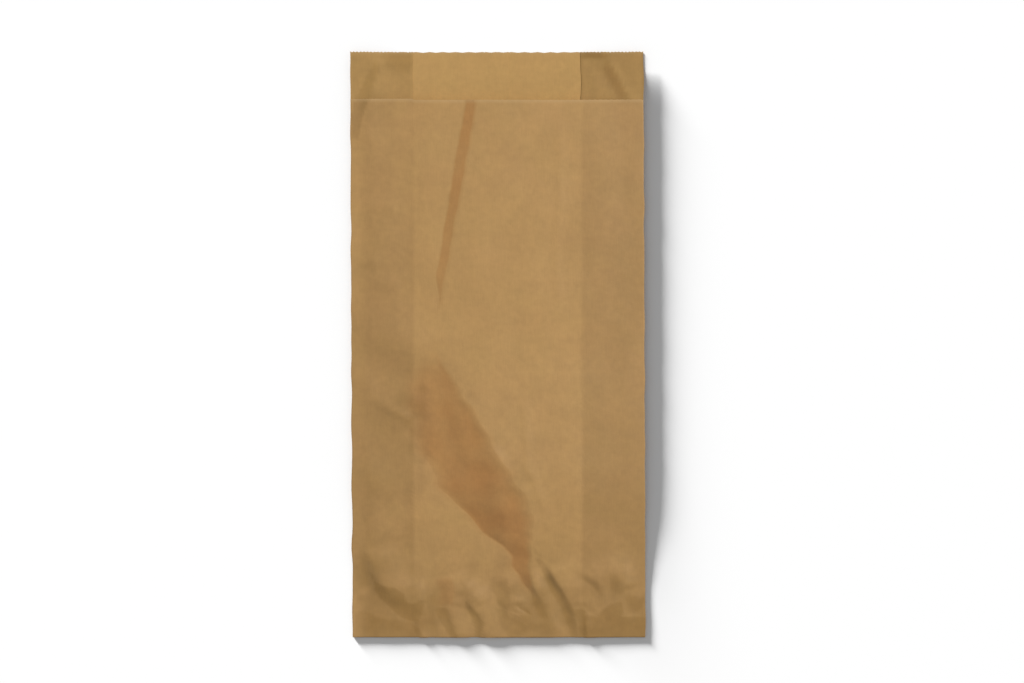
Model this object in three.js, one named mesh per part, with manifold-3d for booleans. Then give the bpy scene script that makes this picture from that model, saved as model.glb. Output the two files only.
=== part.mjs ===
// Side-gusseted brown paper bag, flat as it comes off the pack and lying on its back.
// Millimetres, +Z up. X runs across the bag and Y up its height, from the bottom fold
// to the mouth. The origin is on the ground, under the middle of the bag.
//
// The bag is one web of paper. It is folded into a tube with a gusset in each side, its
// two long edges lapped and pasted down the middle of the back. At the bottom the whole
// flat tube is turned under by a short turn-up, and the front ply, which is longer there,
// is pasted on the back as a flap. At the mouth the same stepped cut leaves the front ply
// lower than the back ply, as a lip.

import * as THREE from "three";
import { mergeVertices } from "three/addons/utils/BufferGeometryUtils.js";
import Module from "manifold-3d";

// The bag as it is sold
const bagWidth = 150;
const bagHeight = 300; // bottom fold to the tips of the back ply's teeth
const gussetDepth = 32; // side edge to the gusset's inner fold, on each side
const lipHeight = 25; // how far the back ply stands above the front ply at the mouth
const turnUp = 11; // how much of the whole tube is folded under at the bottom
const lapWidth = 12; // pasted overlap down the middle of the back

// The paper and the knife
const paper = 0.1;
const plyGap = 0.1; // air or paste between two pressed plies
const toothPitch = 2.5;
const toothDepth = 0.6;

// How the bag has sprung open since it was pressed
const springRadius = 0.4; // of each side fold, at the middle of the paper
const gussetRise = 1.5; // lower ply of the gusset at its inner fold, above the back ply
const edgeGap = 1.7; // between the gusset's two plies at the side of the bag
const crownRise = 5.1; // middle of the front ply, above its side folds
const openingRun = 80; // from the pressed bottom to where the bag is fully open

// The long crease across the front ply: the paper right of it stands on a ridge, and drops
// over a slanting strip to a valley on the left. Each point is given as a share of the
// bag's width from its middle, a share of its height, and for the ridge the drop in mm.
const ridge = [
  { across: -0.082, up: 0.917, drop: 1.3 },
  { across: -0.208, up: 0.576, drop: 0.5 },
  { across: -0.208, up: 0.474, drop: 0.7 },
  { across: -0.061, up: 0.321, drop: 2.6 },
  { across: 0.109, up: 0.168, drop: 1.6 },
  { across: 0.263, up: 0.006, drop: 0.2 },
];
const valley = [
  { across: -0.108, up: 0.917 },
  { across: -0.216, up: 0.576 },
  { across: -0.225, up: 0.491 },
  { across: -0.273, up: 0.372 },
  { across: -0.163, up: 0.244 },
  { across: -0.027, up: 0.185 },
  { across: 0.109, up: 0.1 },
  { across: 0.232, up: 0.007 },
];

// Puckers that run up from the pasted bottom fold
const puckerCount = 5;
const puckerDepth = 0.35;
const puckerRun = 30;

// How finely the paper is cut into flat facets
const rowStep = 11; // along the height, at most
const foldFacets = 4;
const turnFacets = 4;
const gussetFacets = 3;
const leftFacets = 9;
const stripFacets = 2;
const rightFacets = 9;

// What follows from the sizes above
const halfPaper = paper / 2;
const halfWidth = bagWidth / 2;
const bottomEdge = -bagHeight / 2;
const topEdge = bagHeight / 2;
const frontEdge = topEdge - lipHeight;
const flapLength = turnUp + lipHeight;
const plyPitch = paper + plyGap;
const frontPly = 3; // plies below the front: back, and two of the gusset
const turnRadius = plyPitch * (frontPly + 0.5); // of the front ply round the bottom
const turnHeight = halfPaper + turnRadius; // the line that the bottom turns about
const turnY = bottomEdge + turnRadius + halfPaper;
const stackEnd = turnY + turnUp;
const flapEnd = turnY + flapLength;
const rampRun = 6; // over which the back ply steps down past a cut end under it
const lapHalf = lapWidth / 2;
const pasteBite = paper / 5; // how far the paste soaks into each ply
const pasteMargin = 1.5; // bare paper beside a pasted strip

function share(from, to, value) {
  return THREE.MathUtils.clamp((value - from) / (to - from), 0, 1);
}

function eased(from, to, value) {
  return THREE.MathUtils.smoothstep(value, from, to);
}

// Value of one key of a crease line at height y, straight between the line's points.
function creaseAt(line, key, y) {
  const up = (y - bottomEdge) / bagHeight;
  const next = Math.max(1, line.findIndex((point) => point.up <= up));
  const index = up < line.at(-1).up ? line.length - 1 : next;
  const above = line[index - 1];
  const below = line[index];
  return THREE.MathUtils.lerp(above[key], below[key], share(above.up, below.up, up));
}

// Height of the back ply's middle above the ground. It lies on the turned-up stack at
// the bottom, then on the pasted flap, and beyond the flap on the ground.
function backHeight(y) {
  const onStack = turnHeight + plyPitch / 2;
  const onFlap = halfPaper + plyPitch;
  const stepDown = (onStack - onFlap) * (1 - eased(stackEnd + 1, stackEnd + 1 + rampRun, y));
  const stepOff = plyPitch * (1 - eased(flapEnd + 1, flapEnd + 1 + rampRun, y));
  return halfPaper + stepOff + stepDown;
}

// From 0 where the tube is pressed flat to 1 where it has sprung fully open.
function openness(y) {
  return eased(stackEnd, stackEnd + openingRun, y);
}

// Heights and fold radii that the section at y is drawn with.
function sectionSizes(y) {
  const open = openness(y);
  const back = backHeight(y);
  const radius = THREE.MathUtils.lerp(plyPitch / 2, springRadius, open);
  return {
    back,
    radius,
    edgeX: halfWidth - halfPaper - radius,
    gussetX: halfWidth - gussetDepth + halfPaper + radius,
    gusset: back + radius + THREE.MathUtils.lerp(plyPitch, gussetRise, open),
    front: back + 3 * radius + THREE.MathUtils.lerp(plyPitch, edgeGap, open),
    crown: crownRise * open,
    drop: creaseAt(ridge, "drop", y) * eased(stackEnd, stackEnd + openingRun / 4, y),
    ridgeX: creaseAt(ridge, "across", y) * bagWidth,
    valleyX: creaseAt(valley, "across", y) * bagWidth,
    pucker: puckerDepth * eased(stackEnd, stackEnd + rampRun, y)
      * (1 - eased(stackEnd + rampRun, stackEnd + puckerRun, y)),
  };
}

// Height of the front ply's middle at x: a low crown, with the crease let into it.
function frontHeight(x, size) {
  const towardEdge = x / size.edgeX;
  const crown = size.crown * (1 - towardEdge * towardEdge);
  const ridgeFade = 1 - share(size.ridgeX, size.edgeX, x);
  const valleyFade = 1 - share(size.valleyX, -size.edgeX, x);
  const onStrip = share(size.valleyX, size.ridgeX, x);
  const crease = size.drop * (onStrip * ridgeFade - (1 - onStrip) * valleyFade) / 2;
  const swell = (1 + Math.cos(puckerCount * Math.PI * towardEdge)) / 2;
  const wave = swell * (1 - towardEdge * towardEdge);
  return size.front + size.radius + crown + crease + size.pucker * wave;
}

// One fold seen along Y, as a half circle that bulges towards +X when bulge is 1.
function foldPoints(centreX, centreZ, radius, bulge, startAngle, endAngle) {
  const points = [];
  for (let i = 1; i < foldFacets; i++) {
    const angle = THREE.MathUtils.lerp(startAngle, endAngle, i / foldFacets);
    points.push([centreX + bulge * radius * Math.cos(angle), centreZ + radius * Math.sin(angle)]);
  }
  return points;
}

// A gusset ply, easing from one height to another so that it leaves each fold level.
function gussetPoints(fromX, fromZ, toX, toZ) {
  const points = [];
  for (let i = 0; i <= gussetFacets; i++) {
    const t = i / gussetFacets;
    const z = THREE.MathUtils.lerp(fromZ, toZ, THREE.MathUtils.smoothstep(t, 0, 1));
    points.push([THREE.MathUtils.lerp(fromX, toX, t), z]);
  }
  return points;
}

// The two folds and two plies of the right gusset, from the back ply's fold to the front's.
function gussetSide(size) {
  const { back, radius, edgeX, gussetX, gusset, front } = size;
  const quarter = Math.PI / 2;
  return [
    ...foldPoints(edgeX, back + radius, radius, 1, -quarter, quarter),
    ...gussetPoints(edgeX, back + 2 * radius, gussetX, gusset - radius),
    ...foldPoints(gussetX, gusset, radius, -1, -quarter, quarter),
    ...gussetPoints(gussetX, gusset + radius, edgeX, front - radius),
    ...foldPoints(edgeX, front, radius, 1, -quarter, quarter),
  ];
}

function evenly(from, to, facets) {
  return Array.from({ length: facets + 1 }, (_, i) => THREE.MathUtils.lerp(from, to, i / facets));
}

// Middle of the paper along the whole web at height y, as [x, z] points, from the long
// edge that lies inside the lap, round the right gusset, the front ply and the left gusset,
// to the long edge that lies outside.
function webSection(y) {
  const size = sectionSizes(y);
  const right = gussetSide(size);
  const left = right.map(([x, z]) => [-x, z]).reverse();
  const lapEnd = lapHalf + paper * 10;
  const backRight = [
    ...evenly(-lapHalf, lapHalf, 2).map((x) => [x, size.back + plyPitch]),
    ...evenly(lapEnd, size.edgeX, 2).map((x) => [x, size.back]),
  ];
  const front = [
    ...evenly(size.edgeX, size.ridgeX, rightFacets),
    ...evenly(size.ridgeX, size.valleyX, stripFacets).slice(1),
    ...evenly(size.valleyX, -size.edgeX, leftFacets).slice(1),
  ].map((x) => [x, frontHeight(x, size)]);
  const backLeft = evenly(-size.edgeX, lapHalf, 3).map((x) => [x, size.back]);
  return {
    points: [...backRight, ...right, ...front, ...left, ...backLeft],
    // The front ply ends in the middle of its two side folds, where the knife parts it.
    frontFrom: backRight.length + right.length - foldFacets / 2,
    frontTo: backRight.length + right.length + front.length + foldFacets / 2 - 1,
  };
}

// Stations along the web, from the flap's cut end, round the bottom turn, to the mouth.
// Each holds the y whose section it shows, and how that section is carried under the bag.
function webStations() {
  const stations = [];
  const addFlap = (along) => stations.push({ y: turnY, along, angle: Math.PI });
  [flapLength + toothDepth, turnUp, 0].forEach(addFlap);
  for (let i = turnFacets - 1; i > 0; i--) {
    stations.push({ y: turnY, along: 0, angle: (Math.PI * i) / turnFacets });
  }
  const stops = [
    turnY, stackEnd, stackEnd + 1, stackEnd + 1 + rampRun, flapEnd + 1, flapEnd + 1 + rampRun,
    frontEdge + toothDepth, topEdge + toothDepth,
  ];
  stops.slice(1).forEach((stop, i) => {
    const steps = Math.ceil((stop - stops[i]) / rowStep);
    evenly(stops[i], stop, steps).slice(0, -1).forEach((y) => stations.push({ y, along: 0, angle: 0 }));
  });
  stations.push({ y: stops.at(-1), along: 0, angle: 0 });
  return stations;
}

// Carries a point of the section at a station to its place on the folded bag.
function placed(station, x, z) {
  const reach = z - turnHeight;
  const y = station.y + station.along - reach * Math.sin(station.angle);
  return station.angle ? [x, y, turnHeight + reach * Math.cos(station.angle)] : [x, station.y, z];
}

// Moves each point of a section off the middle of the paper, with mitred corners.
function offsetSection(points, distance) {
  const directions = points.slice(1).map(([x, z], i) => {
    return new THREE.Vector2(x - points[i][0], z - points[i][1]).normalize();
  });
  return points.map(([x, z], i) => {
    const before = directions[Math.max(i - 1, 0)];
    const after = directions[Math.min(i, directions.length - 1)];
    const tangent = before.clone().add(after).normalize();
    const mitre = distance / tangent.dot(after);
    return [x - tangent.y * mitre, z + tangent.x * mitre];
  });
}

// A sheet of the given thickness through a grid of section points. hasCell says which
// cells of the grid hold paper, so the sheet's outline can be stepped.
function sheetGeometry(stations, sections, thickness, hasCell) {
  const columns = sections[0].length;
  const positions = [];
  stations.forEach((station, row) => {
    const outside = offsetSection(sections[row], -thickness / 2);
    const inside = offsetSection(sections[row], thickness / 2);
    outside.forEach(([x, z], i) => {
      positions.push(...placed(station, x, z), ...placed(station, ...inside[i]));
    });
  });
  const outer = (row, i) => 2 * (row * columns + i);
  const inner = (row, i) => outer(row, i) + 1;
  const indices = [];
  const quad = (a, b, c, d) => indices.push(a, b, c, a, c, d);
  const filled = (row, i) => {
    return row >= 0 && row < stations.length - 1 && i >= 0 && i < columns - 1 && hasCell(row, i);
  };
  for (let row = 0; row < stations.length - 1; row++) {
    for (let i = 0; i < columns - 1; i++) {
      if (!filled(row, i)) continue;
      const [r, j] = [row + 1, i + 1];
      quad(inner(row, i), inner(row, j), inner(r, j), inner(r, i));
      quad(outer(row, i), outer(r, i), outer(r, j), outer(row, j));
      if (!filled(row - 1, i)) quad(inner(row, i), outer(row, i), outer(row, j), inner(row, j));
      if (!filled(row + 1, i)) quad(inner(r, j), outer(r, j), outer(r, i), inner(r, i));
      if (!filled(row, i - 1)) quad(inner(r, i), outer(r, i), outer(row, i), inner(row, i));
      if (!filled(row, i + 1)) quad(inner(row, j), outer(row, j), outer(r, j), inner(r, j));
    }
  }
  const geometry = new THREE.BufferGeometry();
  geometry.setAttribute("position", new THREE.Float32BufferAttribute(positions, 3));
  geometry.setIndex(indices);
  return geometry;
}

// The whole web of paper. The front ply alone goes on to the flap's end at the bottom,
// and stops short of the others at the mouth.
function webSheet() {
  const stations = webStations();
  const webs = stations.map((station) => webSection(station.y));
  const { frontFrom, frontTo } = webs[0];
  return sheetGeometry(stations, webs.map((web) => web.points), paper, (row, i) => {
    const isFront = i >= frontFrom && i < frontTo;
    const onFlap = stations[row].along > turnUp;
    const onLip = stations[row].angle === 0 && stations[row].y > frontEdge;
    return isFront ? !onLip : !onFlap;
  });
}

// Paste in the lap down the middle of the back.
function lapPaste() {
  const stations = webStations().slice(1);
  const halfStrip = lapHalf - pasteMargin;
  const sections = stations.map((station) => {
    const z = backHeight(station.y) + plyPitch / 2;
    return [[-halfStrip, z], [halfStrip, z]];
  });
  return sheetGeometry(stations, sections, plyGap + 2 * pasteBite, () => true);
}

// Paste between the flap and the back ply.
function flapPaste() {
  const from = stackEnd + 1 + rampRun;
  const to = flapEnd - pasteMargin;
  const geometry = new THREE.BoxGeometry(
    bagWidth - 2 * pasteMargin, to - from, plyGap + 2 * pasteBite,
  );
  return geometry.translate(0, (from + to) / 2, paper + plyGap / 2);
}

// Cuts a row of teeth whose tips lie at y, through whatever lies between two heights.
function toothKnife(y, fromZ, toZ) {
  const teeth = Math.ceil(bagWidth / toothPitch) + 1;
  const startX = (-teeth * toothPitch) / 2;
  const outline = new THREE.Shape();
  outline.moveTo(startX, y + 2 * toothDepth);
  for (let i = 0; i < teeth; i++) {
    outline.lineTo(startX + i * toothPitch, y);
    outline.lineTo(startX + (i + 0.5) * toothPitch, y - toothDepth);
  }
  outline.lineTo(-startX, y);
  outline.lineTo(-startX, y + 2 * toothDepth);
  const geometry = new THREE.ExtrudeGeometry(outline, { depth: toZ - fromZ, bevelEnabled: false });
  return geometry.translate(0, 0, fromZ);
}

const wasm = await Module();
wasm.setup();

function solidFrom(geometry) {
  geometry.deleteAttribute("normal");
  geometry.deleteAttribute("uv");
  const merged = mergeVertices(geometry, paper / 1000);
  return new wasm.Manifold(new wasm.Mesh({
    numProp: 3,
    vertProperties: merged.attributes.position.array,
    triVerts: new Uint32Array(merged.index.array),
  }));
}

function geometryFrom(solid) {
  const mesh = solid.getMesh();
  const geometry = new THREE.BufferGeometry();
  geometry.setAttribute("position", new THREE.BufferAttribute(mesh.vertProperties, 3));
  geometry.setIndex(new THREE.BufferAttribute(mesh.triVerts, 1));
  geometry.computeVertexNormals();
  return geometry;
}

function bagGeometry() {
  const mouth = sectionSizes(frontEdge);
  const clearOfBag = bagWidth / 2;
  const knives = [
    toothKnife(topEdge, -paper, clearOfBag),
    toothKnife(frontEdge, mouth.front + mouth.radius / 2, clearOfBag),
    toothKnife(flapEnd, -paper, paper + plyGap / 2),
  ];
  const pasted = solidFrom(webSheet()).add(solidFrom(lapPaste())).add(solidFrom(flapPaste()));
  return geometryFrom(knives.reduce((solid, knife) => solid.subtract(solidFrom(knife)), pasted));
}

const kraftPaper = new THREE.MeshStandardMaterial({
  color: 0xb28d5e,
  roughness: 0.8,
  metalness: 0,
  side: THREE.DoubleSide,
});

const bag = new THREE.Group();
const paperBag = new THREE.Mesh(bagGeometry(), kraftPaper);
paperBag.name = "paper_bag";
bag.add(paperBag);

export default bag;
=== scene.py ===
# A plain brown kraft bag with side gussets, lying on its back and seen from straight above.
# Lengths inside this file are in millimetres until a mesh is placed.

import math

import bpy
import numpy as np
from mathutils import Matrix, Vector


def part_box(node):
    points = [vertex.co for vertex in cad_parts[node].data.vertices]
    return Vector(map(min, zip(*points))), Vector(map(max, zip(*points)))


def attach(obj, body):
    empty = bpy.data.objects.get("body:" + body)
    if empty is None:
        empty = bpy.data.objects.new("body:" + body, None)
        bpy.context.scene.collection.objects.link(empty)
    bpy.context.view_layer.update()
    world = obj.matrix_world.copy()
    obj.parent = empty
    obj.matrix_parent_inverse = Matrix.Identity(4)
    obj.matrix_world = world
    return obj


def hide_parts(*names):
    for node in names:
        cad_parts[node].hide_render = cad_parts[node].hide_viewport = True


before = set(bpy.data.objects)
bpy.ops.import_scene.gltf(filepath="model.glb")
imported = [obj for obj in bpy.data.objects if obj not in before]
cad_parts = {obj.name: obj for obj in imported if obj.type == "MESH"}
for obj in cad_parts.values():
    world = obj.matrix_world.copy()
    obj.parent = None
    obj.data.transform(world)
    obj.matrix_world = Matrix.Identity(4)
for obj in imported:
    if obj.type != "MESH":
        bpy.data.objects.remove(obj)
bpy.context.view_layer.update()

mm = 0.001
onLine = 1e-3  # mm: what is this close to a line is on it


# Helpers for meshes, nodes and lines

def deselectAll():
    if bpy.context.object and bpy.context.object.mode != "OBJECT":
        bpy.ops.object.mode_set(mode="OBJECT")
    bpy.ops.object.select_all(action="DESELECT")


def linearColor(hexCode):
    channels = [int(hexCode[i:i + 2], 16) / 255 for i in (1, 3, 5)]
    return [c / 12.92 if c <= 0.04045 else ((c + 0.055) / 1.055) ** 2.4 for c in channels] + [1]


def addNode(tree, kind, settings=None, inputs=None, links=None, stops=None):
    # One node: its own settings, values for its sockets, links from other nodes' outputs, and the
    # stops of its colour ramp
    node = tree.nodes.new(kind)
    for name, value in (settings or {}).items():
        setattr(node, name, value)
    for name, value in (inputs or {}).items():
        node.inputs[name].default_value = value
    for name, output in (links or {}).items():
        tree.links.new(output, node.inputs[name])
    if stops:
        elements = node.color_ramp.elements
        while len(elements) < len(stops):
            elements.new(0.5)
        for element, (position, color) in zip(elements, stops):
            element.position = position
            element.color = color
    return node


def meshPoints(mesh):
    flat = np.empty(len(mesh.vertices) * 3)
    mesh.vertices.foreach_get("co", flat)
    return flat.reshape(-1, 3)


def setMeshPoints(mesh, points):
    mesh.vertices.foreach_set("co", points.ravel())
    mesh.update()


def selectEdges(mesh, test):
    # Selects the edges that test picks by their middles and by how far they run along each axis
    ends = np.empty(len(mesh.edges) * 2, dtype=int)
    mesh.edges.foreach_get("vertices", ends)
    ends = ends.reshape(-1, 2)
    points = meshPoints(mesh)
    middle = (points[ends[:, 0]] + points[ends[:, 1]]) / 2
    along = np.abs(points[ends[:, 1]] - points[ends[:, 0]])
    picked = test(middle, along)
    pickedPoints = np.zeros(len(mesh.vertices), dtype=bool)
    pickedPoints[ends[picked].ravel()] = True
    mesh.polygons.foreach_set("select", np.zeros(len(mesh.polygons), dtype=bool))
    mesh.edges.foreach_set("select", picked)
    mesh.vertices.foreach_set("select", pickedPoints)
    mesh.update()


def smoothStep(low, high, value):
    # Rises smoothly from 0 at low to 1 at high, which may also be the smaller of the two
    t = np.clip((value - low) / (high - low), 0, 1)
    return t * t * (3 - 2 * t)


def comesIn(step, value):
    # A step in a dictionary below: how much it adds, and the two places between which it comes in
    amount, low, high = step
    return amount * smoothStep(low, high, value)


def bell(distance, width):
    return np.exp(-(distance / width) ** 2)


def acrossAt(line, y):
    # Where a line that runs downwards crosses each height
    across, up = np.array(line)[::-1].T
    return np.interp(y, up, across)


def valueAt(table, y):
    # What a table of (height, value), from the top down, gives at each height
    up, value = np.array(table)[::-1].T
    return np.interp(y, up, value)


def alongLine(line, x, y):
    # Signed distance from a bent line and the share of its length. The distance is positive right
    # of a line drawn downwards, and above a line drawn to the right
    points = np.array(line, dtype=float)
    lengths = np.hypot(*np.diff(points, axis=0).T)
    starts = np.concatenate([[0], np.cumsum(lengths)])
    best = np.full(x.shape, np.inf)
    side = np.zeros(x.shape)
    distances, shares = [], []
    for i, length in enumerate(lengths):
        (x0, y0), (x1, y1) = points[i], points[i + 1]
        dx, dy = (x1 - x0) / length, (y1 - y0) / length
        t = np.clip((x - x0) * dx + (y - y0) * dy, 0, length)
        away = np.hypot(x - x0 - dx * t, y - y0 - dy * t)
        closer = away < best
        best = np.where(closer, away, best)
        side = np.where(closer, np.sign((x - x0) * -dy + (y - y0) * dx), side)
        distances.append(away)
        shares.append((starts[i] + t) / starts[-1])
    # Far from the line its parts are about as near, so their shares are blended
    blendWidth = 2
    weights = [np.exp((best - away) / blendWidth) for away in distances]
    share = sum(w * part for w, part in zip(weights, shares)) / sum(weights)
    return best * side, share


def withinOutline(outline, x, y, soft):
    # 1 inside a closed outline and 0 outside it, changing over the width soft to each side
    points = np.array(outline, dtype=float)
    inside = np.zeros(x.shape, dtype=bool)
    nearest = np.full(x.shape, np.inf)
    for (x0, y0), (x1, y1) in zip(points, np.roll(points, -1, axis=0)):
        dx, dy = x1 - x0, y1 - y0
        t = np.clip(((x - x0) * dx + (y - y0) * dy) / (dx * dx + dy * dy), 0, 1)
        nearest = np.minimum(nearest, np.hypot(x - x0 - dx * t, y - y0 - dy * t))
        crosses = (y0 > y) != (y1 > y)
        inside ^= crosses & (x < x0 + (y - y0) * dx / (dy or 1))
    return smoothStep(-soft, soft, np.where(inside, nearest, -nearest))


def slowWaves(x, y, seed):
    # Gentle unevenness of a large sheet: nine long waves in all directions, together about 1 high
    chance = np.random.default_rng(seed)
    shortest, longest = 16, 46
    total = 0
    for wave in range(9):
        length = chance.uniform(shortest, longest)
        turn = chance.uniform(0, math.pi)
        start = chance.uniform(0, 2 * math.pi)
        phase = (x * math.cos(turn) + y * math.sin(turn)) * 2 * math.pi / length + start
        total = total + np.sin(phase) * length / longest
    return total / 3


# The paper bag: one web of paper, cut with stepped ends, creased, folded and given its thickness.
# The web's u runs across it, from the lap round the bag and back to it, and its v runs along it.

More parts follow.
